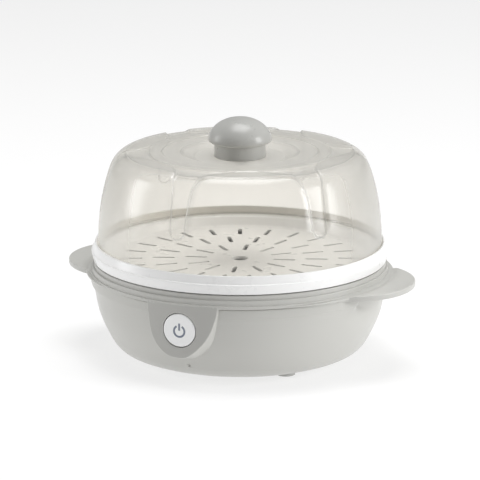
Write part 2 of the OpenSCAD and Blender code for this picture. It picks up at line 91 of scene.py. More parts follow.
def catmull(p, n):
    p = [np.array(q, float) for q in p]
    out = []
    for i in range(len(p) - 1):
        a, b, c, d = p[max(i - 1, 0)], p[i], p[i + 1], p[min(i + 2, len(p) - 1)]
        for k in range(n):
            t = k / n
            out.append(tuple(0.5 * (2 * b + (c - a) * t + (2 * a - 5 * b + 4 * c - d) * t * t + (3 * b - a - 3 * c + d) * t ** 3)))
    out.append(tuple(p[-1]))
    return out


def inward(p, t):
    p = np.array(p, float)
    d = np.empty_like(p)
    d[1:-1] = p[2:] - p[:-2]
    d[0], d[-1] = p[1] - p[0], p[-1] - p[-2]
    d /= np.linalg.norm(d, axis=1)[:, None]
    return [tuple(q) for q in p + t * np.stack([-d[:, 1], d[:, 0]], 1)]


def resample(p, step):
    """Adds points so that no stretch is longer than step."""
    out = [p[0]]
    for a, b in zip(p[:-1], p[1:]):
        k = max(1, int(math.ceil(math.hypot(b[0] - a[0], b[1] - a[1]) / step)))
        for i in range(1, k + 1):
            out.append((a[0] + (b[0] - a[0]) * i / k, a[1] + (b[1] - a[1]) * i / k))
    return out


def make(name, verts, faces, body=None, mat=None, sharp=40, recalc=True, weight=True):
    me = bpy.data.meshes.new(name)
    me.from_pydata([tuple(v) for v in verts], [], faces)
    me.update()
    bm = bmesh.new()
    bm.from_mesh(me)
    bmesh.ops.remove_doubles(bm, verts=bm.verts, dist=2e-6)
    if recalc:
        bmesh.ops.recalc_face_normals(bm, faces=bm.faces)
    bm.to_mesh(me)
    bm.free()
    ob = bpy.data.objects.new(name, me)
    bpy.context.scene.collection.objects.link(ob)
    for p in me.polygons:
        p.use_smooth = True
    if sharp:
        me.set_sharp_from_angle(angle=rad(sharp))
    if weight:
        w = ob.modifiers.new("normals", "WEIGHTED_NORMAL")
        w.keep_sharp = True
        w.weight = 60
    if mat:
        me.materials.append(mat)
    if body:
        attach(ob, body)
    return ob


def lathe(name, prof, n=192, body=None, mat=None, axis="z", center=(0, 0, 0), closed=True, sharp=40, weight=True):
    """Revolves a profile in millimetres, given as (radius, height), round Z, or round an axis along Y."""
    V, F, rows = [], [], []
    for r, z in prof:
        if r < 1e-6:
            rows.append([len(V)])
            V.append((0.0, 0.0, z))
        else:
            rows.append(list(range(len(V), len(V) + n)))
            for k in range(n):
                a = 2 * math.pi * k / n
                V.append((r * math.cos(a), r * math.sin(a), z))
    m = len(rows)
    for i in range(m if closed else m - 1):
        a, b = rows[i], rows[(i + 1) % m]
        if len(a) == 1 and len(b) == 1:
            continue
        for k in range(n):
            q = (k + 1) % n
            if len(a) == 1:
                F.append((a[0], b[q], b[k]))
            elif len(b) == 1:
                F.append((a[k], a[q], b[0]))
            else:
                F.append((a[k], a[q], b[q], b[k]))
    if axis == "y":  # profile height runs along +Y
        V = [(x, z, y) for x, y, z in V]
    V = [((x + center[0]) * MM, (y + center[1]) * MM, (z + center[2]) * MM) for x, y, z in V]
    return make(name, V, F, body, mat, sharp, weight=weight)


def join(name, parts, body=None):
    """Joins made objects into one, keeping their materials."""
    base = parts[0]
    for o in parts:
        for m in list(o.modifiers):
            o.modifiers.remove(m)
    with bpy.context.temp_override(active_object=base, object=base, selected_objects=parts, selected_editable_objects=parts):
        bpy.ops.object.join()
    base.name = name
    base.data.name = name
    w = base.modifiers.new("normals", "WEIGHTED_NORMAL")
    w.keep_sharp = True
    w.weight = 60
    if body:
        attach(base, body)
    return base


# ---------------------------------------------------------------- materials
def nt(name):
    m = bpy.data.materials.new(name)
    m.use_nodes = True
    t = m.node_tree
    t.nodes.clear()
    out = t.nodes.new("ShaderNodeOutputMaterial")
    return m, t, out


def link(t, a, b):
    t.links.new(a, b)


def noise(t, scale, detail=4.0, rough=0.55, vec=None):
    n = t.nodes.new("ShaderNodeTexNoise")
    n.inputs["Scale"].default_value = scale
    n.inputs["Detail"].default_value = detail
    n.inputs["Roughness"].default_value = rough
    if vec is not None:
        link(t, vec, n.inputs["Vector"])
    return n.outputs["Fac"]


def ramp(t, fac, a, b, pa=0.0, pb=1.0):
    r = t.nodes.new("ShaderNodeValToRGB")
    r.color_ramp.elements[0].position = pa
    r.color_ramp.elements[1].position = pb
    r.color_ramp.elements[0].color = (*a, 1)
    r.color_ramp.elements[1].color = (*b, 1)
    link(t, fac, r.inputs["Fac"])
    return r.outputs["Color"]


def mapr(t, fac, lo, hi, f0=0.0, f1=1.0):
    n = t.nodes.new("ShaderNodeMapRange")
    n.inputs["From Min"].default_value = f0
    n.inputs["From Max"].default_value = f1
    n.inputs["To Min"].default_value = lo
    n.inputs["To Max"].default_value = hi
    link(t, fac, n.inputs["Value"])
    return n.outputs["Result"]


def obj_coords(t):
    return t.nodes.new("ShaderNodeTexCoord").outputs["Object"]


def scaled(c, k):
    return tuple(min(1.0, max(0.0, v * k)) for v in c)


def plastic(name, col, rough=0.35, var=0.03, bump=0.06, grain=900.0, spec=0.5, mottle=14.0, sss=0.0, coat=0.0):
    """Injection-moulded plastic: faint flow variation in colour and gloss, and a very fine moulded grain."""
    m, t, out = nt(name)
    p = t.nodes.new("ShaderNodeBsdfPrincipled")
    v = obj_coords(t)
    big = noise(t, mottle, 3.0, 0.5, v)
    link(t, ramp(t, big, scaled(col, 1 - var), scaled(col, 1 + var), 0.3, 0.7), p.inputs["Base Color"])
    mid = noise(t, 55.0, 4.0, 0.6, v)
    link(t, mapr(t, mid, rough - 0.05, rough + 0.06, 0.3, 0.7), p.inputs["Roughness"])
    fine = noise(t, grain, 2.0, 0.5, v)
    b = t.nodes.new("ShaderNodeBump")
    b.inputs["Strength"].default_value = bump
    b.inputs["Distance"].default_value = 0.0002
    link(t, fine, b.inputs["Height"])
    link(t, b.outputs["Normal"], p.inputs["Normal"])
    p.inputs["IOR"].default_value = 1.49
    p.inputs["Specular IOR Level"].default_value = spec
    if sss:
        p.inputs["Subsurface Weight"].default_value = sss
        p.inputs["Subsurface Radius"].default_value = (0.004, 0.004, 0.0035)
        p.inputs["Subsurface Scale"].default_value = 1.0
    if coat:
        p.inputs["Coat Weight"].default_value = coat
        p.inputs["Coat Roughness"].default_value = 0.12
    link(t, p.outputs[0], out.inputs["Surface"])
    return m


def metal(name, col, rough=0.3, var=0.08, stretch=(1, 1, 1), scale=120.0, bump=0.08):
    """Drawn, spun or plated metal: stretched scratches in gloss and height."""
    m, t, out = nt(name)
    p = t.nodes.new("ShaderNodeBsdfPrincipled")
    mp = t.nodes.new("ShaderNodeMapping")
    mp.inputs["Scale"].default_value = stretch
    link(t, obj_coords(t), mp.inputs["Vector"])
    s = noise(t, scale, 6.0, 0.65, mp.outputs["Vector"])
    link(t, ramp(t, s, scaled(col, 1 - var), scaled(col, 1 + var), 0.3, 0.7), p.inputs["Base Color"])
    link(t, mapr(t, s, rough - 0.08, rough + 0.12, 0.3, 0.7), p.inputs["Roughness"])
    b = t.nodes.new("ShaderNodeBump")
    b.inputs["Strength"].default_value = bump
    b.inputs["Distance"].default_value = 0.0002
    link(t, s, b.inputs["Height"])
    link(t, b.outputs["Normal"], p.inputs["Normal"])
    p.inputs["Metallic"].default_value = 1.0
    link(t, p.outputs[0], out.inputs["Surface"])
    return m


def clear_lid(name):
    """Natural polypropylene, thin wall: lets most light straight through, scatters some, and is painted hazier along
    flute edges, crown steps and the foot, standing in for the light and shade lines these edges draw.
    """
    m, t, out = nt(name)
    p = t.nodes.new("ShaderNodeBsdfPrincipled")
    v = obj_coords(t)
    cloud = noise(t, 22.0, 4.0, 0.55, v)
    link(t, ramp(t, cloud, (0.60, 0.60, 0.588), (0.64, 0.64, 0.628), 0.3, 0.7), p.inputs["Base Color"])
    link(t, mapr(t, noise(t, 70.0, 3.0, 0.6, v), 0.16, 0.26, 0.3, 0.7), p.inputs["Roughness"])
    p.inputs["IOR"].default_value = 1.6
    p.inputs["Specular IOR Level"].default_value = 1.0
    p.inputs["Coat Weight"].default_value = 1.0
    p.inputs["Coat Roughness"].default_value = 0.22
    p.inputs["Coat IOR"].default_value = 2.0
    fine = noise(t, 260.0, 3.0, 0.5, v)
    b = t.nodes.new("ShaderNodeBump")
    b.inputs["Strength"].default_value = 0.05
    b.inputs["Distance"].default_value = 0.0003
    link(t, fine, b.inputs["Height"])
    link(t, b.outputs["Normal"], p.inputs["Normal"])
    tl = t.nodes.new("ShaderNodeBsdfTranslucent")
    link(t, ramp(t, cloud, (0.70, 0.698, 0.675), (0.75, 0.748, 0.722), 0.3, 0.7), tl.inputs["Color"])
    body = t.nodes.new("ShaderNodeMixShader")
    body.inputs[0].default_value = 0.45
    link(t, p.outputs[0], body.inputs[1])
    link(t, tl.outputs[0], body.inputs[2])
    tr = t.nodes.new("ShaderNodeBsdfTransparent")
    tr.inputs["Color"].default_value = (0.988, 0.979, 0.960, 1)
    lw = t.nodes.new("ShaderNodeLayerWeight")
    lw.inputs["Blend"].default_value = 0.45
    # The attribute read here adds haze along flute edges, crown steps and the foot: painted light and shade lines, the
    # wall is no thicker there.
    edge = t.nodes.new("ShaderNodeAttribute")
    edge.attribute_name = "painted_edge_lines"
    a = t.nodes.new("ShaderNodeMath")
    a.operation = "MULTIPLY_ADD"
    link(t, lw.outputs["Facing"], a.inputs[0])
    a.inputs[1].default_value = 0.72
    a.inputs[2].default_value = 0.12
    c = t.nodes.new("ShaderNodeMath")
    c.operation = "MULTIPLY_ADD"
    link(t, edge.outputs["Fac"], c.inputs[0])
    c.inputs[1].default_value = 0.36
    link(t, a.outputs[0], c.inputs[2])
    c.use_clamp = True
    mix = t.nodes.new("ShaderNodeMixShader")
    link(t, c.outputs[0], mix.inputs[0])
    link(t, tr.outputs[0], mix.inputs[1])
    link(t, body.outputs[0], mix.inputs[2])
    link(t, mix.outputs[0], out.inputs["Surface"])
    return m


GREY = plastic("shell_grey", (0.525, 0.522, 0.495), rough=0.34, var=0.018, bump=0.012)
# The boss's front face gets a darker, duller grey than the shell: painted shade, the face is the same moulding as the
# shell.
BOSS_FACE_PAINTED_SHADE = plastic("boss_face_painted_shade", (0.455, 0.452, 0.430), rough=0.46, var=0.018, bump=0.012, spec=0.4)
KNOB = plastic("knob_grey", (0.420, 0.420, 0.402), rough=0.30, var=0.018, bump=0.012)
WHITE = plastic("ring_white", (0.885, 0.885, 0.88), rough=0.30, var=0.006, bump=0.006, mottle=6.0)
CAP = plastic("button_white", (0.93, 0.93, 0.93), rough=0.24, var=0.01, bump=0.02)
ICON = plastic("icon_grey", (0.20, 0.225, 0.285), rough=0.4, var=0.06, bump=0.05)
BASIN = plastic("basin_offwhite", (0.74, 0.74, 0.72), rough=0.4, var=0.03, bump=0.08)
RUBBER = plastic("foot_rubber", (0.50, 0.50, 0.48), rough=0.75, var=0.08, bump=0.25, grain=500.0, spec=0.3)
COVER = plastic("cover_grey", (0.50, 0.50, 0.48), rough=0.55, var=0.04, bump=0.3, grain=420.0)
BLACK = plastic("black_nylon", (0.02, 0.02, 0.02), rough=0.5, var=0.3, bump=0.2, grain=600.0)
SILI = plastic("silicone_seal", (0.62, 0.61, 0.58), rough=0.6, var=0.05, bump=0.1, spec=0.35)
RELAY = plastic("relay_blue", (0.02, 0.08, 0.35), rough=0.35, var=0.1, bump=0.05)
WIRE = plastic("wire_red", (0.45, 0.03, 0.025), rough=0.5, var=0.1, bump=0.15, grain=700.0)
REDN = plastic("plunger_red", (0.45, 0.04, 0.03), rough=0.4, var=0.08, bump=0.05)
CERAM = plastic("fuse_cream", (0.74, 0.70, 0.56), rough=0.55, var=0.08, bump=0.2, grain=400.0)
STEEL = metal("spun_steel", (0.62, 0.62, 0.64), rough=0.28, stretch=(1, 1, 1), scale=90.0)
ZINC = metal("zinc_steel", (0.60, 0.61, 0.64), rough=0.34, scale=260.0)
BRASS = metal("brass", (0.72, 0.52, 0.22), rough=0.28, scale=240.0)
SHEATH = metal("element_sheath", (0.34, 0.33, 0.33), rough=0.5, scale=200.0, var=0.2)
LID = clear_lid("lid_clear")


def board_mat():
    m, t, out = nt("board_green")
    p = t.nodes.new("ShaderNodeBsdfPrincipled")
    v = obj_coords(t)
    w = t.nodes.new("ShaderNodeTexBrick")
    w.inputs["Scale"].default_value = 260.0
    w.inputs["Mortar Size"].default_value = 0.03
    w.inputs["Color1"].default_value = (0.012, 0.11, 0.035, 1)
    w.inputs["Color2"].default_value = (0.015, 0.13, 0.045, 1)
    w.inputs["Mortar"].default_value = (0.03, 0.22, 0.08, 1)
    link(t, v, w.inputs["Vector"])
    link(t, w.outputs["Color"], p.inputs["Base Color"])
    link(t, mapr(t, noise(t, 90.0, 3.0, 0.5, v), 0.25, 0.45), p.inputs["Roughness"])
    link(t, p.outputs[0], out.inputs["Surface"])
    return m


BOARD = board_mat()


def dress(node, mat):
    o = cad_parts[node]
    if not o.material_slots:
        o.data.materials.append(mat)
    for s in o.material_slots:
        s.link = "OBJECT"
        s.material = mat
    for p in o.data.polygons:
        p.use_smooth = True
    if not o.data.has_custom_normals:
        o.data.set_sharp_from_angle(angle=rad(35))


for n, m in {
    "heating_plate": STEEL, "plate_gasket": SILI, "clamp_ring": ZINC, "clamp_nuts": BRASS,
    "heating_element": SHEATH, "thermostat": BLACK, "thermal_fuse": CERAM, "bottom_cover": COVER, "cover_screws": ZINC,
    "control_board": BOARD, "board_relay": RELAY, "board_capacitor": BLACK, "board_screws": ZINC,
    "button_guide": BASIN, "guide_screws": ZINC, "button_spring": ZINC, "micro_switch": BLACK, "switch_terminals": BRASS,
    "power_inlet": BLACK, "inlet_pins": BRASS, "wiring": WIRE, "switch_plunger": REDN, "knob_screw": ZINC, "knob_washer": SILI,
    "rubber_feet": RUBBER, "inner_basin": BASIN,
}.items():
    dress(n, m)

# ---------------------------------------------------------------- outer bowl
FR, WALL, SEAM = 111.3, 2.6, 62.4
BZ, BOSS_Z, BOSS_W = 45.2, 50.5, 27.0
knots = [(76.8, 3.0), (80.7, 4), (88.7, 7.2), (93.1, 11), (95.9, 15.2), (98.4, 20), (101.8, 27), (104.8, 35.2), (107, 45), (108.3, 54)]
bowl_out = catmull(knots, 6)


def smooth01(x):
    x = np.clip(x, 0.0, 1.0)
    return x * x * (3 - 2 * x)


def bowl():
    upper = fillet([bowl_out[-1], (108.35, 54.55), (108.9, 54.8, 0.25), (108.9, 61.75, 0.5), (107.7, 62.15), (106.4, 62.15)], n=3)
    outer = resample(bowl_out[:-1] + upper, 1.1)
    outer = [q for q in outer]
    # extra rows for the small dimple
    ex = []
    for a, b in zip(outer[:-1], outer[1:]):
        ex.append(a)
        if 12.4 < 0.5 * (a[1] + b[1]) < 18.0:
            k = max(1, int(math.hypot(b[0] - a[0], b[1] - a[1]) / 0.24))
            ex += [(a[0] + (b[0] - a[0]) * i / k, a[1] + (b[1] - a[1]) * i / k) for i in range(1, k)]
    outer = ex + [outer[-1]]
    # columns: denser across the front dimple
    cols = list(np.arange(0, 360, 1.0))
    cols = [c for c in cols if abs(c - 270) > 1.6] + list(np.arange(268.5, 271.51, 0.15))
    cols = np.radians(np.array(sorted(cols)))
    n = len(cols)
    rows = len(outer)
    R = np.array([q[0] for q in outer])[:, None] * np.ones((1, n))
    Z = np.array([q[1] for q in outer])[:, None] * np.ones((1, n))
    TH = np.ones((rows, 1)) * cols[None, :]
    # finger hollows below the handles
    for c in (0.0, math.pi):
        d = np.degrees(np.abs((TH - c + math.pi) % (2 * math.pi) - math.pi))
        half = 14.6 + 0.40 * np.maximum(62 - Z, 0)
        soft = 0.16 + 0.75 * smooth01((56 - Z) / 12.0)
        g = 1 - smooth01((d / half - (1 - soft)) / soft)
        h = smooth01((Z - 36.0) / 20.0)
        R = R - 3.6 * g * h
    # the band below the flange swells a little towards the hollows
    for c in (0.0, math.pi):
        d = np.degrees(np.abs((TH - c + math.pi) % (2 * math.pi) - math.pi))
        sw = 1 - smooth01((d - 22) / 34.0)
        R = R + 1.9 * sw * smooth01((Z - 49.0) / 9.0) * smooth01((d - 13.5) / 3.5)
    # dimple
    x, y = R * np.cos(TH), R * np.sin(TH)
    dd = np.sqrt(x ** 2 + ((Z - 15.2) * 0.85) ** 2)
    R = R - 1.3 * (1 - smooth01((dd - 0.6) / 0.8)) * (y < 0)
    V, F = [], []
    out_id = np.arange(rows * n).reshape(rows, n)
    for i in range(rows):
        for k in range(n):
            V.append((R[i, k] * math.cos(cols[k]), R[i, k] * math.sin(cols[k]), Z[i, k]))
    # inner face, one point below each outer one
    nor = np.array(inward(outer, WALL)) - np.array(outer)
    in_id = out_id + len(V)
    for i in range(rows):
        zi = Z[i, 0] + (nor[i, 1] if outer[i][1] < 54 else 0.0)
        ri = -WALL if outer[i][1] >= 54 else nor[i, 0]
        if outer[i][0] < 85:
            zi, ri = Z[i, 0] + 4.9, 0.0
        zi = min(max(zi, 8.0), SEAM - 0.3)
        for k in range(n):
            V.append(((R[i, k] + ri) * math.cos(cols[k]), (R[i, k] + ri) * math.sin(cols[k]), zi))
    # cells hidden behind the boss are left open
    gone = np.zeros((rows - 1, n), bool)
    for i in range(rows - 1):
        zc = 0.5 * (outer[i][1] + outer[i + 1][1])
        for k in range(n):
            a = 0.5 * (cols[k] + (cols[(k + 1) % n] if k < n - 1 else cols[0] + 2 * math.pi))
            xx, yy = outer[i][0] * math.cos(a), outer[i][0] * math.sin(a)
            if yy < 0 and zc > 30.0:
                if abs(xx) < np.interp(zc, [30, 34, 38, 44, 52, 62], [8.0, 13.0, 16.5, 20.0, 22.5, 23.0]):
                    gone[i, k] = True
    for i in range(rows - 1):
        for k in range(n):
            q = (k + 1) % n
            if gone[i, k]:
                continue
            F.append((out_id[i, k], out_id[i, q], out_id[i + 1, q], out_id[i + 1, k]))
            F.append((in_id[i, k], in_id[i + 1, k], in_id[i + 1, q], in_id[i, q]))
            if i == 0 or gone[i - 1, k]:
                F.append((out_id[i, k], in_id[i, k], in_id[i, q], out_id[i, q]))
            if i == rows - 2 or gone[i + 1, k]:
                F.append((out_id[i + 1, k], out_id[i + 1, q], in_id[i + 1, q], in_id[i + 1, k]))
            if gone[i, (k - 1) % n]:
                F.append((out_id[i, k], out_id[i + 1, k], in_id[i + 1, k], in_id[i, k]))
            if gone[i, q]:
                F.append((out_id[i, q], in_id[i, q], in_id[i + 1, q], out_id[i + 1, q]))
    V = [(a * MM, b * MM, c * MM) for a, b, c in V]
    return make("bowl_wall", V, F, None, GREY, sharp=50, weight=False)


BX = -1.2
# outlines of the boss's face and root seen from the front: half width and height, right and left side
FACE_R = [(0.0, 24.2), (4.0, 25.0), (7.6, 27.0), (11.4, 30.0), (15.4, 34.0), (18.7, 38.0), (21.2, 42.0), (23.6, 47.0), (25.4, 52.5), (26.7, 57.0), (27.6, 62.4), (27.7, 64.9)]
FACE_L = [(0.0, 24.2), (5.0, 24.35), (9.5, 25.0), (13.4, 26.7), (16.4, 28.9), (19.4, 31.9), (21.8, 35.2), (24.0, 39.4), (25.4, 43.8), (26.5, 49.5), (27.2, 55.4), (27.6, 62.4), (27.7, 64.9)]
ROOT_R = [(0.0, 22.6), (4.5, 22.8), (8.2, 23.8), (10.6, 25.0), (13.4, 27.0), (16.8, 30.0), (19.9, 33.0), (23.2, 37.4), (25.3, 42.0), (26.7, 47.6), (27.5, 53.5), (28.0, 62.4), (27.9, 64.9)]
ROOT_L = [(0.0, 22.6), (5.4, 22.8), (10.2, 23.9), (14.2, 25.8), (17.6, 28.2), (20.7, 31.4), (23.1, 34.9), (25.2, 39.2), (26.5, 43.6), (27.4, 49.3), (27.8, 55.4), (28.0, 62.4), (27.9, 64.9)]


def u_poly(right, left):
    return np.array(catmull(right, 6) + [(-x, z) for x, z in reversed(catmull(left, 6)) if x > 1e-6])


def ray_out(P, a):
    """Distance from the button's centre to the outline P in the direction a."""
    d = np.array([math.cos(a), math.sin(a)])
    A = P - np.array([BX, BZ])
    B = np.roll(A, -1, axis=0)
    e = B - A
    den = d[0] * e[:, 1] - d[1] * e[:, 0]
    den = np.where(np.abs(den) < 1e-12, 1e-12, den)
    t = (A[:, 0] * e[:, 1] - A[:, 1] * e[:, 0]) / den
    u = (A[:, 0] * d[1] - A[:, 1] * d[0]) / den
    ok = (t > 0) & (u >= -1e-9) & (u <= 1 + 1e-9)
    return float(t[ok].max())


def boss():
    """Raised boss: rows run from inside the button's bore, over its rim, across the face, round the outer edge and down the slanted side."""
    # equal steps round the outline, so that its corners keep their points
    PF, PR = u_poly(FACE_R, FACE_L), u_poly(ROOT_R, ROOT_L)
    na = 192
    ang = [2 * math.pi * k / na for k in range(na)]
    for cx in (27.7, -27.7):
        c = math.atan2(64.9 - BZ, cx - BX) % (2 * math.pi)
        k = min(range(na), key=lambda i: abs(ang[i] - c))
        ang[k] = c
    face = np.array([ray_out(PF, a) for a in ang])
    root = np.array([ray_out(PR, a) for a in ang])
    hr, rf = 12.9, 1.1
    rows = []
    for d in (9.0, 3.0, 1.2):
        rows.append((np.full(na, hr), d))
    for k in range(6):
        q = math.pi / 2 * k / 5
        rows.append((np.full(na, hr + 0.5 * (1 - math.cos(q))), 0.5 * (1 - math.sin(q))))
    for s_ in (0.12, 0.3, 0.5, 0.7, 0.86):
        rows.append((hr + 0.5 + (face - rf - hr - 0.5) * s_, 0.0))
    for k in range(8):
        q = math.pi / 2 * k / 7
        rows.append((face - rf * (1 - math.sin(q)), rf * (1 - math.cos(q))))
    for d in (2.4, 3.8, 5.4, 7.0, 8.4):
        rows.append((face + (root - face) * min(1.0, (d - rf) / 7.0), d))
    rows.append((root, 11.0))
    rows.append((root, 13.0))
    rows.append((np.maximum(root - 3.5, hr + 1.5), 13.0))
    rows.append((np.maximum(np.minimum(root, face) - 4.0, hr + 1.5), 9.0))
    V, F = [], []
    for rr, d in rows:
        for k in range(na):
            x, z = BX + rr[k] * math.cos(ang[k]), BZ + rr[k] * math.sin(ang[k])
            y = -math.sqrt(FR ** 2 - x * x) + d
            V.append((x * MM, y * MM, z * MM))
    m = len(rows)
    for i in range(m):
        for k in range(na):
            q = (k + 1) % na
            a, b = i * na, ((i + 1) % m) * na
            F.append((a + k, a + q, b + q, b + k))
    return make("boss", V, F, None, GREY, sharp=60)


def ledge():
    return lathe("ledge", [(62, 5.4), (84, 5.4), (86.5, 8.6), (62, 8.6)], 144, None, GREY)


def rear_pad():
    """Flat pad round the power inlet, with rounded corners and an open middle."""
    def ring(w, h, r, n=8):
        pts = []
        for cx, cz, a0 in ((w - r, h - r, 0), (-w + r, h - r, 90), (-w + r, -h + r, 180), (w - r, -h + r, 270)):
            for k in range(n + 1):
                a = rad(a0 + 90 * k / n)
                pts.append((cx + r * math.cos(a), cz + r * math.sin(a)))
        return pts
    rows = []
    for q in range(6):
        a = math.pi / 2 * q / 5
        rows.append((ring(17 - 0.8 * (1 - math.sin(a)), 12 - 0.8 * (1 - math.sin(a)), 2.2), 104 - 0.8 * (1 - math.cos(a))))
    rows = [(ring(13.02, 9.02, 0.9), 100.0), (ring(13.02, 9.02, 0.9), 103.6), (ring(13.4, 9.4, 1.2), 104.0)] + rows
    rows += [(ring(17, 12, 2.2), 99.5), (ring(17, 12, 2.2), 86.0), (ring(15.4, 10.4, 1.6), 86.0), (ring(13.02, 9.02, 0.9), 86.0)]
    V, F = [], []
    m = len(rows[0][0])
    for pts, y in rows:
        for x, z in pts:
            V.append((x * MM, y * MM, (z + 30) * MM))
    for i in range(len(rows)):
        for k in range(m):
            q = (k + 1) % m
            a, b = i * m, ((i + 1) % len(rows)) * m
            F.append((a + k, a + q, b + q, b + k))
    return make("rear_pad", V, F, None, GREY, sharp=50)


def carve(ob, half_w, half_h, r, y0, y1, cz):
    """Cuts a rounded rectangular opening, running along Y, out of a mesh."""
    pts = []
    for cx, cy, a0 in ((half_w - r, half_h - r, 0), (-half_w + r, half_h - r, 90), (-half_w + r, -half_h + r, 180), (half_w - r, -half_h + r, 270)):
        for k in range(7):
            a = rad(a0 + 90 * k / 6)
            pts.append((cx + r * math.cos(a), cy + r * math.sin(a)))
    m = len(pts)
    V = [(x * MM, y * MM, (z + cz) * MM) for y in (y0, y1) for x, z in pts]
    F = [(k, (k + 1) % m, m + (k + 1) % m, m + k) for k in range(m)] + [tuple(range(m)), tuple(reversed(range(m, 2 * m)))]
    tool = make("cutter", V, F, sharp=None, weight=False)
    b = ob.modifiers.new("cut", "BOOLEAN")
    b.operation = "DIFFERENCE"
    b.solver = "EXACT"
    b.object = tool
    bpy.context.view_layer.update()
    me = bpy.data.meshes.new_from_object(ob.evaluated_get(bpy.context.evaluated_depsgraph_get()))
    ob.modifiers.remove(b)
    old = ob.data
    ob.data = me
    bpy.data.meshes.remove(old)
    old = tool.data
    bpy.data.objects.remove(tool)
    bpy.data.meshes.remove(old)
    me.set_sharp_from_angle(angle=rad(50))
    return ob


boss_mesh = boss()
# The flat faces on the boss's front take the second, darker material: painted shade on the boss's face.
boss_mesh.data.materials.append(BOSS_FACE_PAINTED_SHADE)
for poly in boss_mesh.data.polygons:
    cx_, cy_ = poly.center.x / MM, poly.center.y / MM
    if abs(poly.normal.y) > 0.93 and cy_ + math.sqrt(FR ** 2 - cx_ ** 2) < 0.12:
        poly.material_index = 1
wall_mesh = carve(bowl(), 13.02, 9.02, 0.9, 70.0, 125.0, 30.0)
shell = join("bowl_shell", [wall_mesh, boss_mesh, ledge(), rear_pad()], "base")
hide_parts("outer_bowl")

# ---------------------------------------------------------------- collar and handles
ring_prof = fillet([(104.8, 62.3), (107.3, 62.3), (107.6, 62.75, 0.15), (FR, 62.75, 0.5), (FR, 65.1, 0.7), (109.9, 65.25, 0.35),
                    (109.9, 69.0, 0.7), (108.4, 69.1, 0.35), (108.4, 72.4, 0.7), (104.8, 72.4, 0.4), (104.8, 69.5), (101.0, 69.5),
                    (101.0, 67.6), (104.6, 66.0)], closed=True, n=5)
ring = lathe("collar_ring", ring_prof, 256, None, GREY, sharp=50)


def dip(r):
    """Depth of the shallow hollow round the root of each handle."""
    return 1.0 * float(1 - smooth01(abs(r - 113.6) / 3.4))


def tongue(sign, lr, fr, top, bot, rt, rb, hollow):
    tip = 135.2 if hollow else 131.0
    lx = tip - lr
    d1, d2 = lr + fr, FR + fr
    fx = (d2 * d2 - d1 * d1 + lx * lx) / (2 * lx)
    fy = math.sqrt(d2 * d2 - fx * fx)

    # outline from the ring, round the blend, the lobe and back
    def arc(cx, cy, r, a0, a1, n):
        return [(cx + r * math.cos(a0 + (a1 - a0) * k / n), cy + r * math.sin(a0 + (a1 - a0) * k / n)) for k in range(n + 1)]
    tA = math.atan2(-fy, -fx)
    tB = math.atan2(-fy, lx - fx)
    up = arc(fx, fy, fr, tA, tB + (2 * math.pi if tB < tA - math.pi else 0), 20)
    b0 = math.atan2(up[-1][1], up[-1][0] - lx)
    lobe = arc(lx, 0, lr, b0, -b0, 80)
    outline = up + lobe[1:-1] + [(x, -y) for x, y in reversed(up)]
    P = np.array(outline)

    def inset(P, e):
        d = np.empty_like(P)
        d[1:-1] = P[2:] - P[:-2]
        d[0], d[-1] = P[1] - P[0], P[-1] - P[-2]
        d /= np.linalg.norm(d, axis=1)[:, None]
        nrm = np.stack([d[:, 1], -d[:, 0]], 1)
        if nrm[len(P) // 2, 0] > 0:
            nrm = -nrm
        return P + e * nrm
    rows = []
    for k in range(7):
        q = math.pi / 2 * k / 6
        rows.append((inset(P, rt * (1 - math.sin(q))), top - rt * (1 - math.cos(q)), 1.0))
    for k in range(7):
        q = math.pi / 2 * k / 6
        rows.append((inset(P, rb * (1 - math.cos(q))), bot + rb * (1 - math.sin(q)), 0.0))
    V, F = [], []
    npt = len(P)
    for pts, z, w in rows:
        for x, y in pts:
            zz = z - (dip(math.hypot(x, y)) * w if hollow else 0.0)
            V.append((sign * x * MM, sign * y * MM, max(zz, bot + rb) * MM if w else zz * MM))
    for i in range(len(rows) - 1):
        for k in range(npt - 1):
            a, b = i * npt, (i + 1) * npt
            F.append((a + k, a + k + 1, b + k + 1, b + k))

    # top and bottom faces as strips from side to side
    def cap(row, z, w):
        half = npt // 2
        grid = []
        cols = 36
        for k in range(half + 1):
            a = np.array(V[row * npt + k][:2])
            b = np.array(V[row * npt + npt - 1 - k][:2])
            line = []
            for c in range(cols + 1):
                if c == 0:
                    line.append(row * npt + k)
                elif c == cols:
                    line.append(row * npt + npt - 1 - k)
                else:
                    p = a + (b - a) * c / cols
                    rr = math.hypot(p[0], p[1]) / MM
                    V.append((p[0], p[1], (z - (dip(rr) * w if hollow else 0.0)) * MM))
                    line.append(len(V) - 1)
            grid.append(line)
        for k in range(half):
            for c in range(cols):
                f = tuple(dict.fromkeys((grid[k][c], grid[k][c + 1], grid[k + 1][c + 1], grid[k + 1][c])))
                if len(f) >= 3:
                    F.append(f)
    cap(0, top, 1.0)
    cap(len(rows) - 1, bot, 0.0)
    root = [(i * npt, i * npt + npt - 1) for i in range(len(rows))]
    F.append(tuple([r[0] for r in root] + [r[1] for r in reversed(root)]))
    return make("tongue", V, F, None, GREY, sharp=50)


def flare_r(a):
    t = min(1.0, max(0.0, (abs(a) - 22) / 38))
    return FR + 1.5 * (1 + math.cos(math.pi * t))


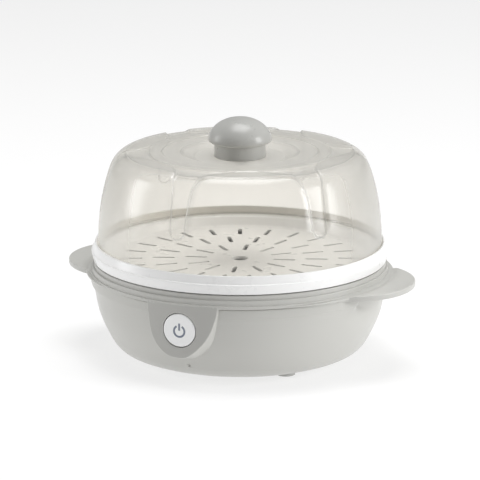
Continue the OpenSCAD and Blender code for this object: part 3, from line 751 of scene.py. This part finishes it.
def skirt(turn):
    """The flange widens gently towards each handle."""
    V, F = [], []
    az = np.linspace(-60, 60, 81)
    m = None
    for a in az:
        R = flare_r(a) - 0.25
        low = 62.85 - 0.4 * (R + 0.25 - FR) / 3.0
        pts = fillet([(105.0, low), (R, low, 0.35), (R, 63.85, 0.5), (105.0, 63.85)], closed=True, n=5)
        m = len(pts)
        t = rad(a + turn)
        V += [(r * math.cos(t) * MM, r * math.sin(t) * MM, z * MM) for r, z in pts]
    for i in range(len(az) - 1):
        for k in range(m):
            q = (k + 1) % m
            F.append((i * m + k, i * m + q, (i + 1) * m + q, (i + 1) * m + k))
    F.append(tuple(range(m)))
    F.append(tuple(reversed(range((len(az) - 1) * m, len(az) * m))))
    return make("skirt", V, F, None, GREY, sharp=50)


def skirts():
    return [skirt(0), skirt(180)]


collar = join("collar_handles", [ring, tongue(1, 50.0, 14.0, 65.0, 60.6, 1.0, 1.3, True), tongue(-1, 50.0, 14.0, 65.0, 60.6, 1.0, 1.3, True), *skirts()], "base")
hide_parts("handle_collar")

# ---------------------------------------------------------------- button
cap_r = 12.3
prof = fillet([(0.0, -110.9), (4.0, -110.9), (8.0, -110.9), (cap_r, -110.9, 0.9), (cap_r, -107.0), (14.2, -107.0, 0.3), (14.2, -105.0, 0.3), (10.6, -105.0),
               (10.6, -108.4, 0.4), (2.8, -108.4, 0.4), (2.8, -97.3, 0.3), (0.0, -97.3)], closed=False, n=6)
cap = lathe("button_cap", prof, 128, "button", CAP, axis="y", center=(BX, 0, BZ), closed=False, sharp=45)
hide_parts("power_button")


def icon():
    """Generic on-off sign, inlaid a hair proud of the cap."""
    V, F = [], []

    def band(path, half, closed=False):
        pts = np.array(path, float)
        d = np.gradient(pts, axis=0)
        d /= np.linalg.norm(d, axis=1)[:, None]
        nrm = np.stack([-d[:, 1], d[:, 0]], 1)
        base = len(V)
        lev = [(1.0, 0.35), (1.0, -0.03), (0.86, -0.09), (-0.86, -0.09), (-1.0, -0.03), (-1.0, 0.35)]
        for p, q in zip(pts, nrm):
            for s, d_ in lev:
                x, z = p + q * half * s
                V.append(((x + BX) * MM, (-110.86 + d_) * MM, (z + BZ - 0.7) * MM))
        m = len(lev)
        for i in range(len(pts) - 1):
            for k in range(m):
                a, b = base + i * m, base + (i + 1) * m
                F.append((a + k, a + (k + 1) % m, b + (k + 1) % m, b + k))
        F.append(tuple(base + k for k in range(m)))
        F.append(tuple(base + (len(pts) - 1) * m + k for k in reversed(range(m))))
    g = rad(29)
    band([(4.05 * math.cos(a), 4.05 * math.sin(a)) for a in np.linspace(math.pi / 2 + g, math.pi / 2 + 2 * math.pi - g, 64)], 0.75)
    band([(0.0, z) for z in np.linspace(0.6, 5.8, 8)], 0.75)
    return make("power_sign", V, F, "button", ICON, sharp=40)


ic = icon()
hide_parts("button_icon")

# ---------------------------------------------------------------- steam tray
tray_ring = lathe("tray_ring", fillet([
    (94.0, 69.9), (97.0, 69.8, 0.5), (97.8, 70.6, 0.3), (97.8, 72.6, 0.3), (104.0, 72.6, 0.3), (104.0, 78.2, 0.6), (106.9, 78.2, 0.6),
    (106.6, 73.2, 0.15), (108.5, 73.15, 0.55), (110.15, 79.2, 6.0), (110.2, 80.25, 0.45), (109.2, 80.8, 0.3), (107.5, 86.6, 0.9), (106.0, 86.6, 0.7), (105.8, 80.4, 0.5),
    (100.6, 80.4, 1.2), (99.2, 79.0, 1.0), (96.6, 73.2, 2.0), (94.0, 72.2, 0.5)], closed=True, n=6), 256, None, WHITE, sharp=50)


def tray_floor():
    cu = bpy.data.curves.new("tray_floor", "CURVE")
    cu.dimensions = "2D"
    cu.fill_mode = "BOTH"
    cu.extrude = 0.9 * MM
    cu.bevel_depth = 0.3 * MM
    cu.bevel_resolution = 2

    def loop(pts):
        s = cu.splines.new("POLY")
        s.points.add(len(pts) - 1)
        for p, q in zip(s.points, pts):
            p.co = (q[0] * MM, q[1] * MM, 0, 1)
        s.use_cyclic_u = True
    loop([(95.6 * math.cos(a), 95.6 * math.sin(a)) for a in np.linspace(0, 2 * math.pi, 192, endpoint=False)])
    loop([(6.3 * math.cos(a), 6.3 * math.sin(a)) for a in np.linspace(0, 2 * math.pi, 48, endpoint=False)])
    hw = 1.6 + 0.3
    for n, r0, r1, turn in ((24, 74, 88, 7.5), (18, 50, 64, 0), (12, 26, 40, 15)):
        for k in range(n):
            a = rad(turn + 360 * k / n)
            ca, sa = math.cos(a), math.sin(a)
            pts = [(r0 + hw * math.cos(q), hw * math.sin(q)) for q in np.linspace(math.pi / 2, 3 * math.pi / 2, 9)]
            pts += [(r1 + hw * math.cos(q), hw * math.sin(q)) for q in np.linspace(-math.pi / 2, math.pi / 2, 9)]
            loop([(x * ca - y * sa, x * sa + y * ca) for x, y in pts])
    ob = bpy.data.objects.new("tf", cu)
    bpy.context.scene.collection.objects.link(ob)
    bpy.context.view_layer.update()
    me = bpy.data.meshes.new_from_object(ob.evaluated_get(bpy.context.evaluated_depsgraph_get()))
    bpy.data.objects.remove(ob)
    V = [(v.co.x, v.co.y, v.co.z + 71.0 * MM) for v in me.vertices]
    F = [tuple(p.vertices) for p in me.polygons]
    bpy.data.meshes.remove(me)
    return make("tray_floor", V, F, None, WHITE, sharp=40)


tray = join("tray", [tray_ring, tray_floor()], "tray")
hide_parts("steam_tray")

# ---------------------------------------------------------------- lid
FOOT = 80.6
LW = 2.2
TURN = -3.5
wall_knots = [(105.3, 86), (104.7, 100), (103, 115), (100.6, 127), (97.9, 137), (95.8, 143), (93.3, 147.6), (89.6, 151.4), (84.6, 153.9)]


def lid():
    wall = [(105.3, FOOT)] + catmull(wall_knots, 6)
    top = [(83.4, 153.55), (80, 153.5), (74, 153.5), (67.9, 153.5), (67.2, 154.05), (63, 154.1), (58, 154.05), (57.3, 153.5), (50, 153.5),
           (44.2, 153.5), (43.2, 153.15), (34.6, 150.25), (33.4, 150.0), (26, 150.0), (19.2, 150.0), (10, 150.0), (2.0, 150.0)]
    prof = fillet([(q[0], q[1], 0.35 if i > len(wall) - 2 else 0) for i, q in enumerate(wall + top)], closed=False, n=3)
    prof = resample(prof, 2.2)
    # finer rows round the lower ends of the flutes
    ex = []
    for a, b in zip(prof[:-1], prof[1:]):
        ex.append(a)
        mid = 0.5 * (a[1] + b[1])
        if 104 < mid < 118 and a[0] > 95:
            ex.append((0.5 * (a[0] + b[0]), mid))
    prof = ex + [prof[-1]]
    P = np.array(prof)
    d = np.empty_like(P)
    d[1:-1] = P[2:] - P[:-2]
    d[0], d[-1] = P[1] - P[0], P[-1] - P[-2]
    d /= np.linalg.norm(d, axis=1)[:, None]
    nrm = np.stack([d[:, 1], -d[:, 0]], 1)  # outward
    # half width of a flute in millimetres along each row
    wz = np.array([100, 109.7, 115.5, 128, 138, 146, 150, 156.0])
    ww = np.array([5.8, 5.8, 5.8, 6.1, 6.8, 7.9, 9.4, 9.6])
    wr = np.array([60, 66.4, 70, 76, 82, 90, 98.0])
    wc = np.array([40, 31.2, 22, 14.6, 11, 9.4, 9.2])
    half, dist0 = [], []
    on_crown = False
    for r, z in P:
        if r < 90.5 and z > 150.4:
            half.append(float(np.interp(r, wr, wc)))
        else:
            half.append(float(np.interp(z, wz, ww)))
    half = np.array(half)
    soft = 1.3
    # columns in one sixth: inside, edge, outside; u in units of sector
    inner_n, edge_n, outer_n = 5, 5, 9
    V, F, A = [], [], []
    rows = len(P)
    half_deg = np.degrees(half / np.maximum(P[:, 0], 20.0))
    half_deg = np.minimum(half_deg, 27.0)
    soft_deg = np.degrees(soft / np.maximum(P[:, 0], 20.0))
    grid = []

    def column_angles(h, s):
        h0, h1 = max(h - s / 2, 0.2), min(h + s / 2, 29.2)
        side = list(np.linspace(0, h0, inner_n, endpoint=False)) + list(np.linspace(h0, h1, edge_n, endpoint=False)) + list(np.linspace(h1, 30.0, outer_n))
        return [-a for a in reversed(side[1:])] + side[:-1]

    cols = len(column_angles(5, 1)) * 6
    DEP = 1.6
    for i in range(rows):
        r, z = P[i]
        if r < 67.6 and z > 140:
            # plain turned crown
            angs = []
            base = column_angles(20, 2)
            hh = None
        ca = column_angles(half_deg[i], soft_deg[i])
        line = []
        for s in range(6):
            for a in ca:
                dd = abs(a) * math.pi / 180 * max(r, 1.0) - half[i]  # millimetres outside the flute's side
                if z < 116 and r > 95:
                    dz = z - 115.5
                    x = abs(a) * math.pi / 180 * r
                    if dz < 0:
                        dd = math.hypot(x, dz) - 5.8
                depth = float(smooth01(0.5 - dd / soft))
                # e is painted haze along each flute's sides: it stands in for the light and shade lines the flute's
                # edges draw.
                e = max(0.0, 1 - abs(dd) / (0.75 * soft))
                if z > 150.3 and r < 90:
                    f = float(smooth01((r - 67.6) / 1.2))
                    e = e * f
                    depth *= f
                if r < 66:
                    depth, e = 0.0, 0.0
                if z < 106 and r > 95:
                    depth, e = 0.0, 0.0
                rr = r - nrm[i, 0] * DEP * depth
                zz = z - nrm[i, 1] * DEP * depth
                t = rad(-90 + TURN + 60 * s + a)
                line.append(len(V))
                V.append((rr * math.cos(t), rr * math.sin(t), zz))
                A.append(e)
        grid.append(line)
    # inner face
    inner = []
    for i in range(rows):
        line = []
        for k, vi in enumerate(grid[i]):
            x, y, z = V[vi]
            rr = math.hypot(x, y)
            t = math.atan2(y, x)
            nr, nz = nrm[i]
            if i == 0:
                nr, nz = 1.0, 0.0
            if i == rows - 1:
                nr, nz = 0.0, 1.0
            line.append(len(V))
            V.append(((rr - nr * LW) * math.cos(t), (rr - nr * LW) * math.sin(t), z - nz * LW))
            A.append(A[vi])
        inner.append(line)
    m = len(grid[0])
    for i in range(rows - 1):
        for k in range(m):
            q = (k + 1) % m
            F.append((grid[i][k], grid[i][q], grid[i + 1][q], grid[i + 1][k]))
            F.append((inner[i][k], inner[i + 1][k], inner[i + 1][q], inner[i][q]))
    for k in range(m):
        q = (k + 1) % m
        F.append((grid[0][k], inner[0][k], inner[0][q], grid[0][q]))
        F.append((grid[-1][k], grid[-1][q], inner[-1][q], inner[-1][k]))
    # painted edge lines: the rims and steps of the crown, and the foot, are made hazier to stand in for the light and
    # shade lines these edges draw; the wall is no thicker there
    A = np.array(A)
    VV = np.array(V)
    rr = np.hypot(VV[:, 0], VV[:, 1])
    for ring_r, w, s in ((84.0, 1.4, 0.9), (67.5, 0.9, 0.8), (57.6, 0.8, 0.7), (43.4, 1.0, 0.8), (34.0, 0.8, 0.5), (19.0, 1.0, 0.4)):
        A = np.maximum(A, s * np.clip(1 - np.abs(rr - ring_r) / w, 0, 1) * (VV[:, 2] > 145))
    A = np.maximum(A, 0.8 * np.clip(1 - (VV[:, 2] - FOOT) / 1.5, 0, 1))
    # the wall's haze is carried by its outer face; the inner face stays almost clear
    A[rows * m:] = -1.0
    me = bpy.data.meshes.new("dome")
    me.from_pydata([(a * MM, b * MM, c * MM) for a, b, c in V], [], F)
    me.update()
    at = me.attributes.new("painted_edge_lines", "FLOAT", "POINT")
    at.data.foreach_set("value", A.astype(np.float32))
    bm = bmesh.new()
    bm.from_mesh(me)
    bmesh.ops.recalc_face_normals(bm, faces=bm.faces)
    bm.to_mesh(me)
    bm.free()
    ob = bpy.data.objects.new("dome", me)
    bpy.context.scene.collection.objects.link(ob)
    for p in me.polygons:
        p.use_smooth = True
    me.set_sharp_from_angle(angle=rad(60))
    me.materials.append(LID)
    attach(ob, "lid")
    return ob


dome = lid()
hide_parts("lid_dome")

# ---------------------------------------------------------------- knob
kt, kr = 179.2, 23.3
dome_k = [(kr * math.cos(a) ** 0.92, 163.2 + (kt - 163.2) * math.sin(a) ** 1.12) for a in np.linspace(0, math.pi / 2 * 0.995, 26)]
knob_prof = fillet([(16.4, 150.0, 0.2), (19.0, 150.0, 0.4), (19.0, 160.5, 0.5), (21.9, 160.7, 0.7), (23.15, 161.9, 0.8), *dome_k, (0.0, kt)], closed=False, n=5)
knob_prof = knob_prof + [(0.0, 174.4), (10, 173.5), (15.4, 168), (16.4, 161), (16.4, 150.0)]
knob = lathe("knob", knob_prof[:-1], 160, "lid", KNOB, closed=True, sharp=45)
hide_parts("lid_knob")

# ---------------------------------------------------------------- stage and light
def floor_mat():
    m, t, out = nt("floor_white")
    p = t.nodes.new("ShaderNodeBsdfPrincipled")
    link(t, ramp(t, noise(t, 0.7, 2.0), (0.34, 0.34, 0.34), (0.36, 0.36, 0.36)), p.inputs["Base Color"])
    p.inputs["Roughness"].default_value = 0.9
    p.inputs["Specular IOR Level"].default_value = 0.1
    p.inputs["Emission Color"].default_value = (1, 1, 1, 1)
    p.inputs["Emission Strength"].default_value = 0.66
    link(t, p.outputs[0], out.inputs["Surface"])
    return m


s = 7.0
me = bpy.data.meshes.new("floor")
me.from_pydata([(-s, -s, 0), (s, -s, 0), (s, s, 0), (-s, s, 0)], [], [(0, 1, 2, 3)])
floor = bpy.data.objects.new("floor", me)
bpy.context.scene.collection.objects.link(floor)
me.materials.append(floor_mat())

world = bpy.data.worlds.new("studio")
bpy.context.scene.world = world
world.use_nodes = True
world.node_tree.nodes["Background"].inputs[0].default_value = (1.0, 1.0, 1.0, 1)
world.node_tree.nodes["Background"].inputs[1].default_value = 0.33


def area(name, loc, aim, size, power, col=(1, 1, 1), sy=None):
    l = bpy.data.lights.new(name, "AREA")
    l.shape = "RECTANGLE"
    l.size = size
    l.size_y = sy or size
    l.energy = power
    l.color = col
    o = bpy.data.objects.new(name, l)
    bpy.context.scene.collection.objects.link(o)
    o.location = loc
    o.rotation_euler = (Vector(aim) - Vector(loc)).to_track_quat("-Z", "Y").to_euler()
    return o


def polar(az, el, d):
    """Place at an azimuth right of the camera's own direction."""
    a = rad(AZ + az)
    return (math.sin(a) * math.cos(rad(el)) * d, -math.cos(a) * math.cos(rad(el)) * d, math.sin(rad(el)) * d)


area("key_right", polar(74, 19, 1.5), (0, 0, 0.09), 0.55, 12.3, sy=0.8)
area("fill_left", polar(-96, 17, 1.6), (0, 0, 0.09), 0.45, 6.0, sy=0.7)
area("top", (0, 0.15, 1.7), (0, 0, 0.1), 1.0, 18.5)

sc = bpy.context.scene
sc.view_settings.view_transform = "Standard"
sc.view_settings.look = "None"
sc.view_settings.exposure = 0.0
sc.cycles.max_bounces = 14
sc.cycles.transparent_max_bounces = 24
sc.cycles.transmission_bounces = 10
